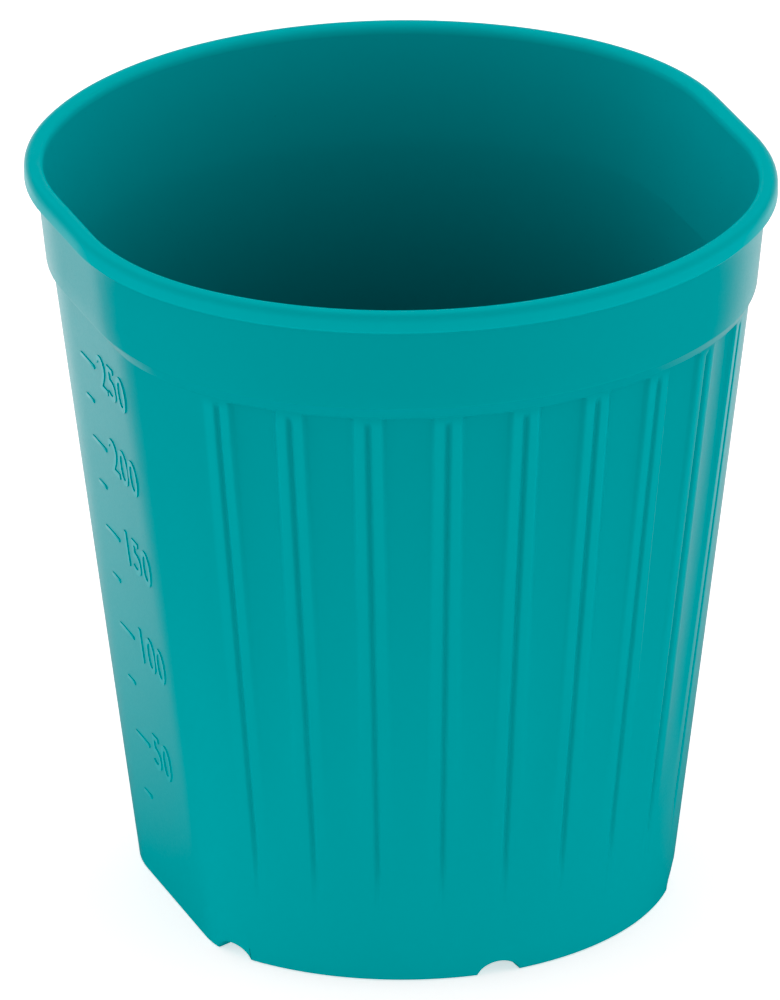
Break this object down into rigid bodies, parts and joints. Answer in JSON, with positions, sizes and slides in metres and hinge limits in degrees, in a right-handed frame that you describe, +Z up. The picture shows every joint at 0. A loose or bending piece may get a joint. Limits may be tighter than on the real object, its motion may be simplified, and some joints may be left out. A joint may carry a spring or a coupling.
{
  "type": "drinking cup",
  "caption": "Rigid tapered drinking cup with opposed flats, ribbed round sides, a plain collar, a beaded rim and a notched foot ring.",
  "frame": {"origin": "centre of the plane that the foot ring stands on", "axes": "+Z up through the mouth, +X out of one flat, +Y out of one round side"},
  "size_m": [0.0856, 0.09, 0.0913],
  "materials": {
    "cup_plastic": "satin teal, coloured through"
  },
  "bodies": {
    "root": {"cup_body": "cup_plastic"}
  },
  "joints": []
}
